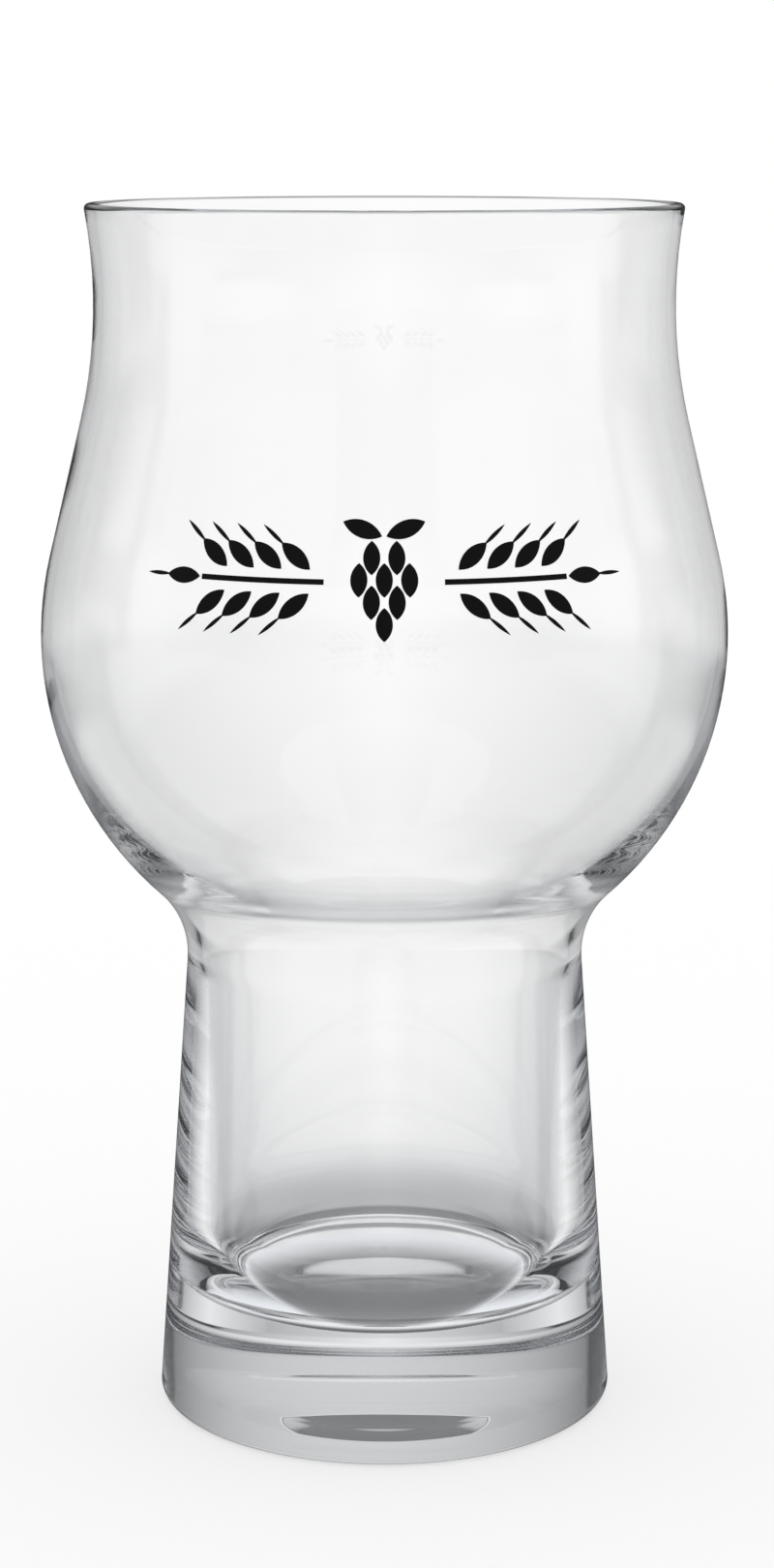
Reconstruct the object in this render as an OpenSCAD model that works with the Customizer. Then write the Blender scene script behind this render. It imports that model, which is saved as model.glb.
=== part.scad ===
/* [Overall] */
// Height of the glass from the table to the top of the lip
glass_h = 148; // [142:0.5:160]

/* [Bowl] */
// Widest outside diameter of the round belly
bowl_d = 83.3; // [79:0.1:88]
// Narrowest outside diameter, just below the lip
neck_d = 69.5; // [65:0.1:73]
// Height of the lip above the neck
lip_h = 11.2; // [6:0.1:16]
// Height of the neck above the widest part of the belly
shoulder_h = 40.7; // [36:0.1:46]
// Radius of the hollow curve at the neck
neck_curve_r = 61; // [48:1:72]
// Thickness of the bowl's wall and of its rounded lip
wall_t = 1.2; // [0.9:0.1:2.2]
// How much tighter the inside curves below the widest part, which thickens the wall towards the column
cup_tuck = 4; // [2:0.1:6]

/* [Column] */
// Lean of the column's side from upright, in degrees
column_lean = 4.05; // [3:0.05:5]
// Radius of the hollow curve where the column runs into the bowl
waist_r = 11.9; // [7:0.1:15]
// Diameter of the upright bore
bore_d = 44.6; // [41:0.1:46]
// Radius of the rounded edge where the bore opens into the bowl
bore_edge_r = 13; // [5:0.5:16]
// Radius of the curve that draws the bore in towards the floor
bore_foot_r = 20; // [16:0.5:28]
// Height of that curve above the floor
bore_foot_h = 10; // [8:0.5:14]
// Radius of the corner between that curve and the floor
floor_corner_r = 2.5; // [1.5:0.5:4]

/* [Base] */
// Diameter of the column's cone, taken on at table level
base_d = 56.7; // [54:0.1:61]
// Thickness of the solid glass under the floor
floor_h = 14.2; // [9:0.1:18]
// Radius of the rounded bottom edge
heel_r = 1.6; // [0.8:0.1:3]
// Diameter of the shallow hollow under the base
punt_d = 32; // [30:1:46]
// Depth of that hollow at its middle
punt_depth = 1.6; // [0.6:0.1:3]

/* [Print] */
// Height of the print's middle line above the widest part of the belly
print_z = 11.7; // [9.2:0.5:19.2]
// Thickness of the fired enamel
print_t = 0.12; // [0.08:0.01:0.3]
// Length of one scale of the hop cone
scale_l = 3.7; // [3:0.1:3.9]
// Width of one scale of the hop cone
scale_w = 1.9; // [1.4:0.05:2]
// Sideways distance between scales in a row
scale_pitch = 2.8; // [2.7:0.05:3.4]
// Upright distance between rows of scales
row_pitch = 2.4; // [2.35:0.05:2.8]
// Length of the two leaves on the hop cone
hop_leaf_l = 4.6; // [3.4:0.1:5.2]
// Width of the two leaves on the hop cone
hop_leaf_w = 1.9; // [1.2:0.1:2.2]
// Rise of the two leaves from level, in degrees
hop_leaf_rise = 20; // [12:1:30]
// Pairs of grains on each ear of barley
grain_pairs = 4; // [2:1:5]
// Length of one grain
grain_l = 4.4; // [3.4:0.1:5]
// Width of one grain
grain_w = 1.8; // [1.2:0.05:1.95]
// Distance along the stem between pairs of grains
grain_pitch = 3.3; // [3.1:0.1:3.8]
// Lean of a grain from its stem, in degrees
grain_lean = 40; // [37:1:46]
// Distance from the middle of the print to the first grains
ear_start = 10; // [9:0.2:12]
// Thickness of the stem
stem_w = 0.6; // [0.4:0.05:0.9]
// Bare glass between neighbouring pieces of the print
print_gap = 0.3; // [0.15:0.05:0.5]
// Length of the bristle beyond each grain
awn_l = 3.4; // [2:0.2:4.2]
// Width of the bristle
awn_w = 0.45; // [0.35:0.05:0.6]

/* [Hidden] */
$fn = 180;
// How far a cut runs past the face that it goes through
overrun = 1;
// How far curves that touch run into each other, so that they join without a step
blend = 0.002;

// Outside of the bowl: a ball, a cone that touches it and a hollow neck curve
bowl_r = bowl_d / 2;
neck_z = glass_h - lip_h;
bowl_z = neck_z - shoulder_h;
bowl_c = [0, bowl_z];
neck_r = neck_d / 2;
// The neck's fillet stays smaller than the one that would touch the ball with no cone between
neck_room_share = 0.95;
neck_touch_r = (pow(neck_r, 2) + pow(shoulder_h, 2) - pow(bowl_r, 2)) / (2 * (bowl_r - neck_r));
neck_fillet_r = bowl_r > neck_r ? min(neck_curve_r, neck_room_share * neck_touch_r) : neck_curve_r;
neck_c = [neck_r + neck_fillet_r, neck_z];
neck_way = neck_c - bowl_c;
cone_a = atan2(neck_way.y, neck_way.x) - acos((bowl_r + neck_fillet_r) / norm(neck_way));
cone_n = [cos(cone_a), sin(cone_a)];

// Points where the cone meets the ball and the neck curve, moved out by grow
function cone_low(grow) = bowl_c + (bowl_r + grow - blend) * cone_n;
function cone_high(grow) = neck_c - (neck_fillet_r - grow - blend) * cone_n;

// Rounded lip, centred in the thickness of the wall
lip_r = wall_t / 2 + blend;
lip_reach = neck_fillet_r + wall_t / 2;
lip_a = asin((glass_h - lip_r - neck_z) / lip_reach);
lip_c = neck_c + lip_reach * [-cos(lip_a), sin(lip_a)];

// Waist curve, which touches the column's side and the ball
base_r = base_d / 2;
side_n = [cos(column_lean), sin(column_lean)];
side_up = [-sin(column_lean), cos(column_lean)];
waist_out = base_r * cos(column_lean) + waist_r - bowl_z * sin(column_lean);
waist_down = sqrt(pow(bowl_r + waist_r - blend, 2) - pow(waist_out, 2));
waist_c = bowl_c + waist_out * side_n - waist_down * side_up;
// The seam between column and bowl lies where the waist curve leaves the side
seam_z = (waist_c - waist_r * side_n).y;

function side_r(z) = base_r - z * tan(column_lean);

// Inside of the bowl and the rounded edge of the bore
cup_r = bowl_r - wall_t;
bore_r = bore_d / 2;
cup_low_r = cup_r - cup_tuck;
cup_low_c = bowl_c + [cup_tuck, 0];
edge_x = bore_r + bore_edge_r;
edge_drop = sqrt(pow(cup_low_r + bore_edge_r - blend, 2) - pow(edge_x - cup_low_c.x, 2));
edge_c = [edge_x, bowl_z - edge_drop];

// Lower end of the bore
foot_z = floor_h + bore_foot_h;
foot_c = [bore_r - bore_foot_r, foot_z];
corner_reach = bore_foot_r - floor_corner_r + blend;
corner_drop = bore_foot_h - floor_corner_r;
corner_c = foot_c + [sqrt(pow(corner_reach, 2) - pow(corner_drop, 2)), -corner_drop];

// Bottom edge and the hollow under the base
heel_c = [base_r - heel_r * (tan(column_lean) + 1 / cos(column_lean)), heel_r];
heel_top = heel_c + heel_r * side_n;
punt_r = (pow(punt_d / 2, 2) + pow(punt_depth, 2)) / (2 * punt_depth);

// Layout of the print
SCALE_ROWS = [2, 3, 2, 1];
print_mid = bowl_z + print_z;
hop_low = print_mid - (row_pitch * (len(SCALE_ROWS) - 1) + hop_leaf_w) / 2;
hop_top = hop_low + row_pitch * (len(SCALE_ROWS) - 1);
hop_leaf_z = hop_top + (scale_l + hop_leaf_w) / 2 + print_gap;
hop_leaf_x = (stem_w + hop_leaf_l * cos(hop_leaf_rise)) / 2;
print_r = cone_low(0).x + (cone_low(0).y - print_mid) * tan(cone_a);
grain_rise = stem_w / 2 + print_gap + (grain_l * sin(grain_lean) + grain_w * cos(grain_lean)) / 2;
ear_end = ear_start + (grain_pairs - 1 / 2) * grain_pitch;
stem_start = ear_start - grain_pitch;
stem_end = ear_end - print_gap;

function turn_for(along) = along / print_r * 180 / PI;

// Part of a half section between two heights
module slab(low, high, r) {
    translate([0, low])
        square([r, high - low]);
}

module disc_at(centre, r) {
    translate(centre)
        circle(r);
}

// Half section inside the ball and the cone, grown outwards, down to a height
module belly_section(low, grow) {
    intersection() {
        disc_at(bowl_c, bowl_r + grow);
        slab(low, neck_z, bowl_d);
    }
    polygon([bowl_c, cone_low(grow), cone_high(grow), [0, glass_h]]);
}

// Half section inside the hollow neck curve, up to a height
module neck_section(high, grow) {
    difference() {
        slab(cone_high(grow).y, high, neck_c.x);
        disc_at(neck_c, neck_fillet_r - grow);
    }
}

// Half section inside the bowl's outside, grown outwards, from a height up to the lip
module outside_section(low, grow) {
    belly_section(low, grow);
    neck_section(glass_h, grow);
}

// Half section of the drinking space, from the floor to past the lip
module cup_section() {
    slab(floor_h, foot_z, corner_c.x);
    disc_at(corner_c, floor_corner_r);
    intersection() {
        disc_at(foot_c, bore_foot_r);
        polygon([foot_c, 2 * corner_c - foot_c, [bore_d, foot_z]]);
    }
    slab(foot_z, bowl_z, bore_r);
    difference() {
        polygon([[0, edge_c.y], edge_c, cup_low_c, bowl_c]);
        disc_at(edge_c, bore_edge_r);
    }
    intersection() {
        disc_at(cup_low_c, cup_low_r);
        slab(edge_c.y, neck_z, bowl_d);
    }
    belly_section(bowl_z, -wall_t);
    neck_section(glass_h + overrun, -wall_t);
}

module bowl_section() {
    difference() {
        polygon([[0, seam_z], [waist_c.x, seam_z], waist_c, bowl_c]);
        disc_at(waist_c, waist_r);
    }
    outside_section(seam_z, 0);
}

// Half plane below the line on which the rounded lip begins
module below_lip() {
    axis_end = neck_c + (lip_c - neck_c) * neck_c.x / (neck_c.x - lip_c.x);
    polygon([[0, seam_z], [neck_c.x, seam_z], neck_c, axis_end]);
}

module bowl() {
    color([0.93, 0.95, 0.96, 0.4])
        rotate_extrude() {
            intersection() {
                difference() {
                    bowl_section();
                    cup_section();
                }
                below_lip();
            }
            disc_at(lip_c, lip_r);
        }
}

module column() {
    color([0.9, 0.93, 0.95, 0.4])
        rotate_extrude()
            difference() {
                polygon([[0, floor_h], [side_r(floor_h), floor_h], [side_r(seam_z), seam_z], [0, seam_z]]);
                cup_section();
            }
}

module base() {
    color([0.86, 0.9, 0.92, 0.4])
        rotate_extrude()
            difference() {
                union() {
                    slab(0, floor_h, heel_c.x);
                    disc_at(heel_c, heel_r);
                    polygon([heel_c, heel_top, [side_r(floor_h), floor_h], [heel_c.x, floor_h]]);
                }
                disc_at([0, punt_depth - punt_r], punt_r);
            }
}

// Pointed leaf shape between two arcs
module leaf(l, w) {
    r = (l * l + w * w) / (4 * w);
    intersection() {
        translate([0, r - w / 2])
            circle(r);
        translate([0, w / 2 - r])
            circle(r);
    }
}

// Enamel film on the bowl, before its pattern is cut out
module film() {
    rotate_extrude()
        difference() {
            outside_section(bowl_z, print_t);
            outside_section(bowl_z, 0);
        }
}

// Prism that cuts a flat shape out of the film, square to the glass
module stamp(along, z) {
    rotate([0, 0, turn_for(along)])
        translate([0, 0, z])
            rotate([90, 0, 0])
                linear_extrude(bowl_d)
                    children();
}

module hop_print() {
    color([0.05, 0.05, 0.05])
        intersection() {
            film();
            union() {
                for (row = [0 : len(SCALE_ROWS) - 1])
                    for (i = [0 : SCALE_ROWS[row] - 1])
                        stamp((i - (SCALE_ROWS[row] - 1) / 2) * scale_pitch, hop_top - row * row_pitch)
                            rotate(90)
                                leaf(scale_l, scale_w);
                for (side = [-1, 1])
                    stamp(side * hop_leaf_x, hop_leaf_z)
                        rotate(side * hop_leaf_rise)
                            leaf(hop_leaf_l, hop_leaf_w);
            }
        }
}

// Grain with its bristle, pointing along +X
module grain() {
    leaf(grain_l, grain_w);
    translate([grain_l / 2 + awn_l / 2 - awn_w, 0])
        leaf(awn_l, awn_w);
}

// Ear of barley that lies level and points to the side given, -1 or +1
module ear(side) {
    for (pair = [0 : grain_pairs - 1])
        for (up = [-1, 1])
            stamp(side * (ear_start + pair * grain_pitch), print_mid + up * grain_rise)
                mirror([side < 0 ? 1 : 0, 0])
                    rotate(up * grain_lean)
                        grain();
    stamp(side * (ear_end + grain_l / 2), print_mid)
        mirror([side < 0 ? 1 : 0, 0])
            grain();
    rotate([0, 0, turn_for(side > 0 ? stem_start : -stem_end) - 90])
        rotate_extrude(angle = turn_for(stem_end - stem_start))
            slab(print_mid - stem_w / 2, print_mid + stem_w / 2, bowl_d);
}

module left_ear_print() {
    color([0.05, 0.05, 0.05])
        intersection() {
            film();
            ear(-1);
        }
}

module right_ear_print() {
    color([0.05, 0.05, 0.05])
        intersection() {
            film();
            ear(1);
        }
}

bowl();
column();
base();
hop_print();
left_ear_print();
right_ear_print();
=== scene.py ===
import math

import bmesh
import bpy
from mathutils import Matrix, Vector


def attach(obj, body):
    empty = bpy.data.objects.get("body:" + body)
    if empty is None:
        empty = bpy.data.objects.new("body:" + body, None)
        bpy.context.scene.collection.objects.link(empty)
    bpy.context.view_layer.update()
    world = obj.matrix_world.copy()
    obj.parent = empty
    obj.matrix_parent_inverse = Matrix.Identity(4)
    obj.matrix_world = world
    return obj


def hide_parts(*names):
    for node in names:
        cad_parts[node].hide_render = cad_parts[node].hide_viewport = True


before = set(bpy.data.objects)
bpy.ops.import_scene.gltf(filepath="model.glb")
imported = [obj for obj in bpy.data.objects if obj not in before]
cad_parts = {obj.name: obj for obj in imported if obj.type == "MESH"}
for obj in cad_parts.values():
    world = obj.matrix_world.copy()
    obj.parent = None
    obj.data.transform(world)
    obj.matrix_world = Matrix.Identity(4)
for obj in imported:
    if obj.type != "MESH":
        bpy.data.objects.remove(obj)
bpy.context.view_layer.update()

# Driving sizes of the glass, in millimetres, as the solids have them
GLASS_H = 148
BOWL_R = 83.3 / 2
NECK_R = 69.5 / 2
LIP_H = 11.2  # from the narrowest place of the neck up to the rim
SHOULDER_H = 40.7  # from the middle of the belly up to the neck
NECK_CURVE_R = 61
WALL_T = 1.2
COLUMN_LEAN = math.radians(4.05)
WAIST_R = 11.9
CUP_TUCK = 4  # how much less the inside of the lower belly curves out
BORE_R = 44.6 / 2
BORE_EDGE_R = 13  # where the belly runs over into the bore
BORE_FOOT_R = 20  # where the bore draws in above its floor
BORE_FOOT_H = 10
FLOOR_CORNER_R = 2.5
BASE_R = 56.7 / 2
FLOOR_H = 14.2
HEEL_R = 1.6
PUNT_R = 32 / 2  # the hollow underneath
PUNT_DEPTH = 1.6

# Metres in a millimetre
MM = 0.001

# How finely the glass is turned, and how far apart its points are at least, in millimetres
AROUND = 360
ARC_STEP = math.radians(2.5)
LINE_END = 0.3
POINT_GAP = 0.03

# Colours
WHITE = (1, 1, 1, 1)
BLACK = (0, 0, 0, 1)

# Glass: its index, what light it takes with thickness, and the waviness of its wall, in millimetres deep
GLASS_IOR = 1.52
GLASS_TINT = (0.54, 0.56, 0.59, 1)
GLASS_DENSITY = 7
WAVE_SCALE = 45
WAVE_DETAIL = 1
WAVE_STRENGTH = 0.25
WAVE_DEPTH = 0.4

# Enamel: its darkest and palest tone, its least and greatest roughness, and the grain of its screen
ENAMEL_TONES = ((0.0004, 0.0004, 0.0005, 1), (0.003, 0.003, 0.0032, 1))
ENAMEL_ROUGHNESS = (0.38, 0.55)
ENAMEL_SPECULAR = 0.1
GRAIN_SCALE = 2500
GRAIN_DETAIL = 3
GRAIN_STRENGTH = 0.2
GRAIN_DEPTH = 0.03

# Floor: half its width in metres, the grey that takes the light, and its own light
FLOOR_HALF = 3
FLOOR_GREY = (0.4, 0.4, 0.4, 1)
FLOOR_GLOW = 0.6

# Studio light: white panels, each with its azimuth, how far to each side its light reaches, where it is
# cut off, the elevations of its lower and upper edge, in degrees, and how it falls off to the sides.
# Azimuth 0 is +Y, behind the glass, and 90 is +X. The gaps between the panels draw the dark edges.
PANELS = (
    (4, 95, 66, -14, 90, "SMOOTHSTEP"),
    (180, 95, 75, -14, 90, "SMOOTHSTEP"),
    (0, 58, 39, -90, 90, "LINEAR"),
    (180, 58, 39, -90, 90, "LINEAR"),
    (90, 60, 40, -4, 17, "LINEAR"),
    (270, 60, 40, -4, 17, "LINEAR"),
    (90, 60, 18, -40, 10, "LINEAR"),
    (270, 60, 18, -40, 10, "LINEAR"),
)
# Fill light of the same kind for the other sides, which the table doesn't dim. The last lies all round.
FILL_PANELS = (
    (122, 160, 42, -90, 2, "LINEAR"),
    (238, 160, 42, -90, 2, "LINEAR"),
    (45, 50, 26, -60, -17, "LINEAR"),
    (315, 50, 26, -60, -17, "LINEAR"),
    (0, 400, 200, -90, -62, "LINEAR"),
)
PANEL_FADE = 6
PANEL_GAP = 0.02
GAP_TINT = (0.94, 0.965, 1, 1)
SKY_RISE = (math.radians(0), math.radians(7))
SKY_LEVEL = 0.75
# The table: the elevations, in degrees, between which its light comes in, and its level past them.
# To the sides it falls to a share of that.
TABLE_RAMPS = ((-18, -36, 0.48), (-37, -45, 0.22))
TABLE_TURN = (math.radians(30), math.radians(55))
TABLE_SIDE_SHARE = 0.15
# What the glass mirrors: dark behind it, paler to the sides and above, and dark on the table
MIRROR_LEVEL = (0.08, 0.6)
MIRROR_TURN = (math.radians(25), math.radians(75))
MIRROR_RISE = (math.radians(0), math.radians(-45))
MIRROR_TABLE_LEVEL = 0.1
MIRROR_SKY_RISE = (math.radians(4), math.radians(16))
MIRROR_SKY_LEVEL = 0.9
# The shaded patch under the base: its light, and its sizes in millimetres
SHADE_LEVEL = 0.15
SHADE_CORE_R = 15
SHADE_R = 26
SHADE_DROP = 0.2

# Camera, solved from the outline in the photograph, with its place in metres
IMAGE_H = 1620
FOCAL_PIXELS = 3581
SENSOR = 36
CAMERA_PLACE = (0.0003, -0.4179, 0.1584)
CAMERA_PITCH = math.radians(10.95)

# Enough bounces for the light that runs along inside the wall
BOUNCES = 128


def polar(angle):
    return Vector((math.cos(angle), math.sin(angle)))


def angle_of(way):
    return math.atan2(way.y, way.x)


def arc(centre, radius, start, end):
    """Points along an arc, from one angle to the other."""
    steps = max(2, math.ceil(abs(end - start) / ARC_STEP))
    return [centre + radius * polar(start + (end - start) * i / steps) for i in range(steps + 1)]


def line(start, end):
    """A straight stretch, with a point close to each end so that its shading stays straight."""
    way = (end - start).normalized() * LINE_END
    return [start, start + way, end - way, end]


def glass_profile():
    """Half section of the glass, from the middle of its underside round to the middle of its floor."""
    neck_z = GLASS_H - LIP_H
    ball = Vector((0, neck_z - SHOULDER_H))
    neck = Vector((NECK_R + NECK_CURVE_R, neck_z))
    cone = angle_of(neck - ball) - math.acos((BOWL_R + NECK_CURVE_R) / (neck - ball).length)
    lip_reach = NECK_CURVE_R + WALL_T / 2
    lip_angle = math.asin((LIP_H - WALL_T / 2) / lip_reach)
    lip = neck + lip_reach * polar(math.pi - lip_angle)

    side = polar(COLUMN_LEAN)
    side_up = polar(COLUMN_LEAN + math.pi / 2)
    waist_out = BASE_R * side.x + WAIST_R - ball.y * side.y
    waist_down = math.sqrt((BOWL_R + WAIST_R) ** 2 - waist_out ** 2)
    waist = ball + waist_out * side - waist_down * side_up
    heel = Vector((BASE_R - HEEL_R * (math.tan(COLUMN_LEAN) + 1 / side.x), HEEL_R))

    cup_r = BOWL_R - WALL_T
    cup_low = ball + Vector((CUP_TUCK, 0))
    cup_low_r = cup_r - CUP_TUCK
    edge_x = BORE_R + BORE_EDGE_R
    edge_drop = math.sqrt((cup_low_r + BORE_EDGE_R) ** 2 - (edge_x - cup_low.x) ** 2)
    edge = Vector((edge_x, ball.y - edge_drop))
    foot = Vector((BORE_R - BORE_FOOT_R, FLOOR_H + BORE_FOOT_H))
    corner_drop = BORE_FOOT_H - FLOOR_CORNER_R
    corner_angle = -math.asin(corner_drop / (BORE_FOOT_R - FLOOR_CORNER_R))
    corner = foot + (BORE_FOOT_R - FLOOR_CORNER_R) * polar(corner_angle)
    punt_ball_r = (PUNT_R ** 2 + PUNT_DEPTH ** 2) / (2 * PUNT_DEPTH)
    punt = Vector((0, PUNT_DEPTH - punt_ball_r))

    points = []
    points += arc(punt, punt_ball_r, math.pi / 2, math.acos(PUNT_R / punt_ball_r))
    points += line(Vector((PUNT_R, 0)), Vector((heel.x, 0)))
    points += arc(heel, HEEL_R, -math.pi / 2, COLUMN_LEAN)
    points += line(heel + HEEL_R * side, waist - WAIST_R * side)
    points += arc(waist, WAIST_R, math.pi + COLUMN_LEAN, angle_of(ball - waist))
    points += arc(ball, BOWL_R, angle_of(waist - ball), cone)
    points += line(ball + BOWL_R * polar(cone), neck - NECK_CURVE_R * polar(cone))
    points += arc(neck, NECK_CURVE_R, math.pi + cone, math.pi - lip_angle)
    points += arc(lip, WALL_T / 2, -lip_angle, math.pi - lip_angle)
    points += arc(neck, NECK_CURVE_R + WALL_T, math.pi - lip_angle, math.pi + cone)
    points += line(neck - (NECK_CURVE_R + WALL_T) * polar(cone), ball + cup_r * polar(cone))
    points += arc(ball, cup_r, cone, 0)
    points += arc(cup_low, cup_low_r, 0, angle_of(edge - cup_low))
    points += arc(edge, BORE_EDGE_R, angle_of(cup_low - edge), math.pi)
    points += line(Vector((BORE_R, edge.y)), Vector((BORE_R, foot.y)))
    points += arc(foot, BORE_FOOT_R, 0, corner_angle)
    points += arc(corner, FLOOR_CORNER_R, corner_angle, -math.pi / 2)
    points += line(Vector((corner.x, FLOOR_H)), Vector((0, FLOOR_H)))
    kept = [points[0]]
    for point in points[1:]:
        if (point - kept[-1]).length > POINT_GAP:
            kept.append(point)
    return kept


def turned(name, profile):
    """Closed mesh of a half section turned round the Z axis. The section starts and ends on the axis."""
    mesh = bmesh.new()
    first = mesh.verts.new((0, 0, profile[0].y * MM))
    last = mesh.verts.new((0, 0, profile[-1].y * MM))
    rings = []
    for point in profile[1:-1]:
        ring = []
        for i in range(AROUND):
            out = polar(math.tau * i / AROUND) * point.x * MM
            ring.append(mesh.verts.new((out.x, out.y, point.y * MM)))
        rings.append(ring)
    for i in range(AROUND):
        j = (i + 1) % AROUND
        mesh.faces.new((first, rings[0][j], rings[0][i]))
        mesh.faces.new((last, rings[-1][i], rings[-1][j]))
        for low, high in zip(rings, rings[1:]):
            mesh.faces.new((low[i], low[j], high[j], high[i]))
    bmesh.ops.recalc_face_normals(mesh, faces=mesh.faces)
    for face in mesh.faces:
        face.smooth = True
    data = bpy.data.meshes.new(name)
    mesh.to_mesh(data)
    mesh.free()
    piece = bpy.data.objects.new(name, data)
    bpy.context.scene.collection.objects.link(piece)
    return piece


def new_material(name):
    material = bpy.data.materials.new(name)
    material.use_nodes = True
    return material, material.node_tree.nodes, material.node_tree.links


def glass_material():
    """Clear glass that greys with thickness, with the faint waviness of a blown wall."""
    material, nodes, links = new_material("clear_glass")
    shader = nodes["Principled BSDF"]
    shader.inputs["Base Color"].default_value = WHITE
    shader.inputs["Roughness"].default_value = 0.0
    shader.inputs["IOR"].default_value = GLASS_IOR
    shader.inputs["Transmission Weight"].default_value = 1.0
    absorb = nodes.new("ShaderNodeVolumeAbsorption")
    absorb.inputs["Color"].default_value = GLASS_TINT
    absorb.inputs["Density"].default_value = GLASS_DENSITY
    links.new(absorb.outputs["Volume"], nodes["Material Output"].inputs["Volume"])
    place = nodes.new("ShaderNodeTexCoord")
    wave = nodes.new("ShaderNodeTexNoise")
    wave.inputs["Scale"].default_value = WAVE_SCALE
    wave.inputs["Detail"].default_value = WAVE_DETAIL
    bump = nodes.new("ShaderNodeBump")
    bump.inputs["Strength"].default_value = WAVE_STRENGTH
    bump.inputs["Distance"].default_value = WAVE_DEPTH * MM
    links.new(place.outputs["Object"], wave.inputs["Vector"])
    links.new(wave.outputs["Fac"], bump.inputs["Height"])
    links.new(bump.outputs["Normal"], shader.inputs["Normal"])
    return material


def enamel_material():
    """Fired black enamel, semi-gloss, with a fine grain from its screen."""
    material, nodes, links = new_material("black_enamel")
    shader = nodes["Principled BSDF"]
    place = nodes.new("ShaderNodeTexCoord")
    grain = nodes.new("ShaderNodeTexNoise")
    grain.inputs["Scale"].default_value = GRAIN_SCALE
    grain.inputs["Detail"].default_value = GRAIN_DETAIL
    tone = nodes.new("ShaderNodeValToRGB")
    for element, colour in zip(tone.color_ramp.elements, ENAMEL_TONES):
        element.color = colour
    rough = nodes.new("ShaderNodeMapRange")
    rough.inputs["To Min"].default_value = ENAMEL_ROUGHNESS[0]
    rough.inputs["To Max"].default_value = ENAMEL_ROUGHNESS[1]
    bump = nodes.new("ShaderNodeBump")
    bump.inputs["Strength"].default_value = GRAIN_STRENGTH
    bump.inputs["Distance"].default_value = GRAIN_DEPTH * MM
    shader.inputs["Specular IOR Level"].default_value = ENAMEL_SPECULAR
    links.new(place.outputs["Object"], grain.inputs["Vector"])
    links.new(grain.outputs["Fac"], tone.inputs["Fac"])
    links.new(grain.outputs["Fac"], rough.inputs["Value"])
    links.new(grain.outputs["Fac"], bump.inputs["Height"])
    links.new(tone.outputs["Color"], shader.inputs["Base Color"])
    links.new(rough.outputs["Result"], shader.inputs["Roughness"])
    links.new(bump.outputs["Normal"], shader.inputs["Normal"])
    return material


def floor_material():
    """White floor: part of its white is its own, so that the shadow on it stays light."""
    material, nodes, _ = new_material("studio_floor")
    shader = nodes["Principled BSDF"]
    shader.inputs["Base Color"].default_value = FLOOR_GREY
    shader.inputs["Roughness"].default_value = 1.0
    shader.inputs["Specular IOR Level"].default_value = 0.0
    shader.inputs["Emission Color"].default_value = WHITE
    shader.inputs["Emission Strength"].default_value = FLOOR_GLOW
    return material


def feed(links, socket, value):
    """Sets a socket to a value, or links it if the value is a socket."""
    if isinstance(value, bpy.types.NodeSocket):
        links.new(value, socket)
    else:
        socket.default_value = value


def math_node(nodes, links, operation, *values):
    node = nodes.new("ShaderNodeMath")
    node.operation = operation
    for socket, value in zip(node.inputs, values):
        feed(links, socket, value)
    return node.outputs["Value"]


def ramp_node(nodes, links, value, start, end, low, high, kind="SMOOTHSTEP"):
    """Goes from low at start to high at end."""
    node = nodes.new("ShaderNodeMapRange")
    node.interpolation_type = kind
    feed(links, node.inputs["Value"], value)
    feed(links, node.inputs["From Min"], start)
    feed(links, node.inputs["From Max"], end)
    feed(links, node.inputs["To Min"], low)
    feed(links, node.inputs["To Max"], high)
    return node.outputs["Result"]


def panel_light(nodes, links, around, rise, light, panels):
    """The brightest of the given light and the panels, at each azimuth and elevation."""
    for azimuth, reach, cut, lowest, highest, falloff in panels:
        turn = math_node(nodes, links, "SUBTRACT", around, math.radians(azimuth))
        off = math_node(nodes, links, "ARCCOSINE", math_node(nodes, links, "COSINE", turn))
        panel = ramp_node(nodes, links, off, 0.0, math.radians(reach), 1.0, 0.0, falloff)
        edges = ((off, cut, -PANEL_FADE), (rise, lowest, PANEL_FADE), (rise, highest, -PANEL_FADE))
        for value, edge, fade in edges:
            inside = ramp_node(nodes, links, value, math.radians(edge), math.radians(edge + fade), 0.0, 1.0)
            panel = math_node(nodes, links, "MULTIPLY", panel, inside)
        light = math_node(nodes, links, "MAXIMUM", light, panel)
    return light


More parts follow.
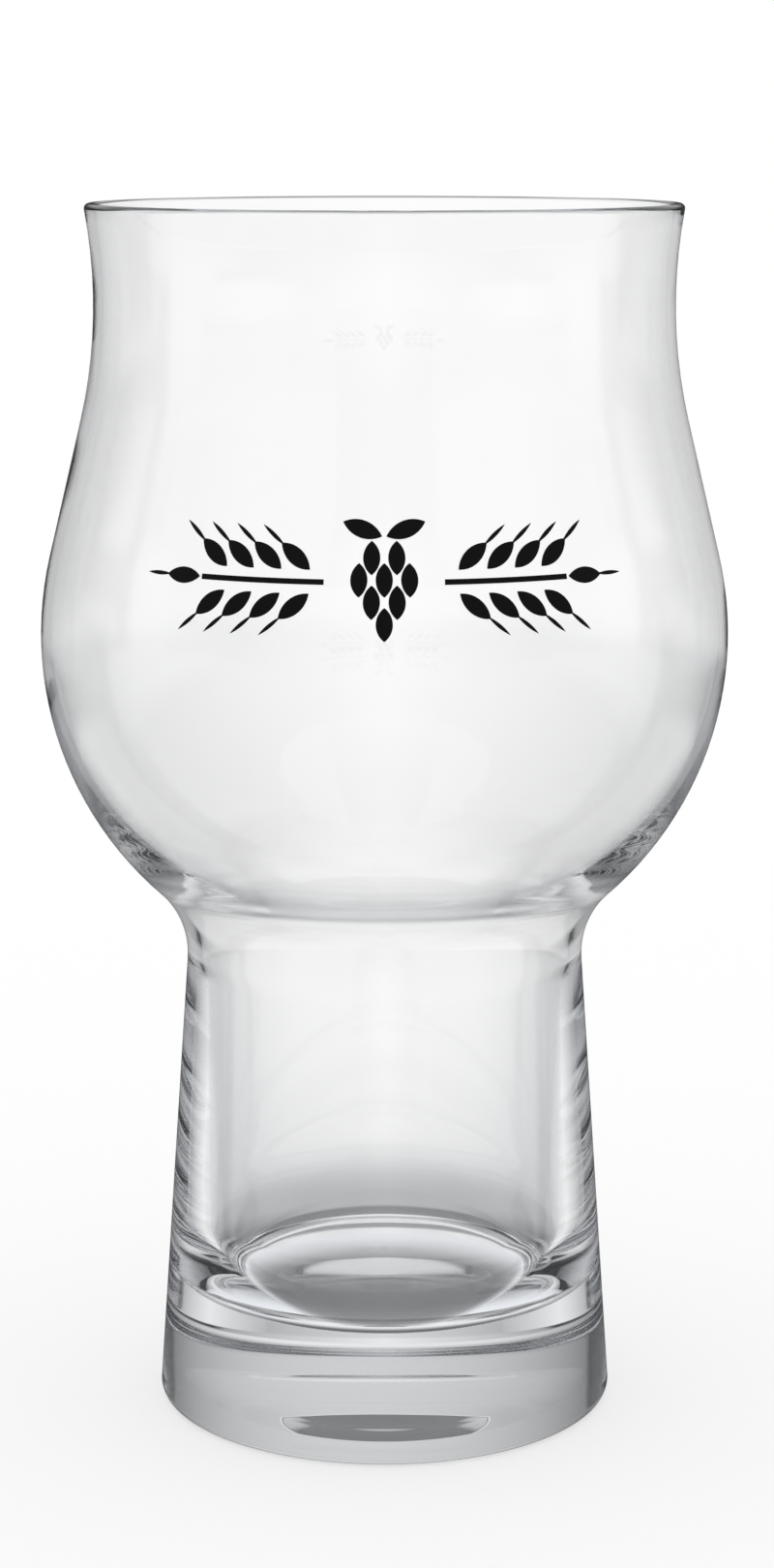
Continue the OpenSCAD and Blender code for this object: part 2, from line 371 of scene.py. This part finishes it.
def studio_world():
    """White to the eye and to diffuse light. Glass sees soft white panels with dark gaps between them."""
    world = bpy.data.worlds.new("studio")
    bpy.context.scene.world = world
    world.use_nodes = True
    nodes, links = world.node_tree.nodes, world.node_tree.links
    place = nodes.new("ShaderNodeTexCoord")
    way = nodes.new("ShaderNodeSeparateXYZ")
    links.new(place.outputs["Generated"], way.inputs["Vector"])
    around = math_node(nodes, links, "ARCTAN2", way.outputs["X"], way.outputs["Y"])
    rise = math_node(nodes, links, "ARCSINE", way.outputs["Z"])
    light = panel_light(nodes, links, around, rise, PANEL_GAP, PANELS)
    sky = ramp_node(nodes, links, rise, *SKY_RISE, 1.0, SKY_LEVEL)
    light = math_node(nodes, links, "MULTIPLY", light, sky)
    facing = math_node(nodes, links, "ABSOLUTE", math_node(nodes, links, "COSINE", around))
    aside = math_node(nodes, links, "ARCCOSINE", facing)
    share = ramp_node(nodes, links, aside, *TABLE_TURN, 1.0, TABLE_SIDE_SHARE)
    for start, end, level in TABLE_RAMPS:
        table = math_node(nodes, links, "MULTIPLY", share, level)
        light = ramp_node(nodes, links, rise, math.radians(start), math.radians(end), light, table)
    light = panel_light(nodes, links, around, rise, light, FILL_PANELS)
    ray = nodes.new("ShaderNodeLightPath")
    through = nodes.new("ShaderNodeMix")
    links.new(ray.outputs["Is Transmission Ray"], through.inputs["Factor"])
    through.inputs["A"].default_value = 1.0
    links.new(light, through.inputs["B"])
    mirrored = nodes.new("ShaderNodeMix")
    reflected, glossy = ray.outputs["Is Reflection Ray"], ray.outputs["Is Glossy Ray"]
    links.new(math_node(nodes, links, "MULTIPLY", reflected, glossy), mirrored.inputs["Factor"])
    links.new(through.outputs["Result"], mirrored.inputs["A"])
    turn = math_node(nodes, links, "ABSOLUTE", around)
    mirror = ramp_node(nodes, links, turn, *MIRROR_TURN, *MIRROR_LEVEL)
    mirror = ramp_node(nodes, links, rise, *MIRROR_RISE, mirror, MIRROR_TABLE_LEVEL)
    mirror = ramp_node(nodes, links, rise, *MIRROR_SKY_RISE, mirror, MIRROR_SKY_LEVEL)
    links.new(mirror, mirrored.inputs["B"])
    tint = nodes.new("ShaderNodeMix")
    tint.data_type = "RGBA"
    tint.inputs["A"].default_value = GAP_TINT
    tint.inputs["B"].default_value = WHITE
    links.new(mirrored.outputs["Result"], tint.inputs["Factor"])
    links.new(tint.outputs["Result"], nodes["Background"].inputs["Color"])
    links.new(mirrored.outputs["Result"], nodes["Background"].inputs["Strength"])


def studio_floor():
    low, high = -FLOOR_HALF, FLOOR_HALF
    corners = [(low, low, 0), (high, low, 0), (high, high, 0), (low, high, 0)]
    data = bpy.data.meshes.new("floor")
    data.from_pydata(corners, [], [(0, 1, 2, 3)])
    floor = bpy.data.objects.new("floor", data)
    bpy.context.scene.collection.objects.link(floor)
    data.materials.append(floor_material())
    floor.visible_transmission = False
    floor.visible_glossy = False


def studio_shade():
    """The shaded patch of floor under the base, which is seen only through the glass."""
    material, nodes, links = new_material("studio_shade")
    shader = nodes["Principled BSDF"]
    shader.inputs["Base Color"].default_value = BLACK
    shader.inputs["Roughness"].default_value = 1.0
    shader.inputs["Specular IOR Level"].default_value = 0.0
    shader.inputs["Emission Color"].default_value = GAP_TINT
    place = nodes.new("ShaderNodeTexCoord")
    out = nodes.new("ShaderNodeVectorMath")
    out.operation = "LENGTH"
    links.new(place.outputs["Object"], out.inputs["Vector"])
    reach = (SHADE_CORE_R * MM, SHADE_R * MM)
    level = ramp_node(nodes, links, out.outputs["Value"], *reach, SHADE_LEVEL, 1.0)
    links.new(level, shader.inputs["Emission Strength"])
    ring = [polar(math.tau * i / AROUND) * SHADE_R * MM for i in range(AROUND)]
    data = bpy.data.meshes.new("shade")
    corners = [(point.x, point.y, -SHADE_DROP * MM) for point in ring]
    data.from_pydata(corners, [], [tuple(range(AROUND))])
    shade = bpy.data.objects.new("shade", data)
    bpy.context.scene.collection.objects.link(shade)
    data.materials.append(material)
    shade.visible_camera = False
    shade.visible_diffuse = False
    shade.visible_glossy = False
    shade.visible_shadow = False


def camera():
    data = bpy.data.cameras.new("camera")
    data.sensor_width = SENSOR
    data.lens = FOCAL_PIXELS / IMAGE_H * SENSOR
    eye = bpy.data.objects.new("camera", data)
    eye.location = CAMERA_PLACE
    eye.rotation_euler = (math.pi / 2 - CAMERA_PITCH, 0, 0)
    bpy.context.scene.collection.objects.link(eye)
    bpy.context.scene.camera = eye


def set_material(piece, material):
    piece.data.materials.clear()
    piece.data.materials.append(material)


glass = turned("glass_body", glass_profile())
set_material(glass, glass_material())
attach(glass, "root")
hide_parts("bowl", "column", "base")

enamel = enamel_material()
for name in ("hop_print", "left_ear_print", "right_ear_print"):
    set_material(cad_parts[name], enamel)

studio_world()
studio_floor()
studio_shade()
camera()
scene = bpy.context.scene
scene.view_settings.view_transform = "Standard"
scene.cycles.max_bounces = BOUNCES
scene.cycles.glossy_bounces = BOUNCES
scene.cycles.transmission_bounces = BOUNCES
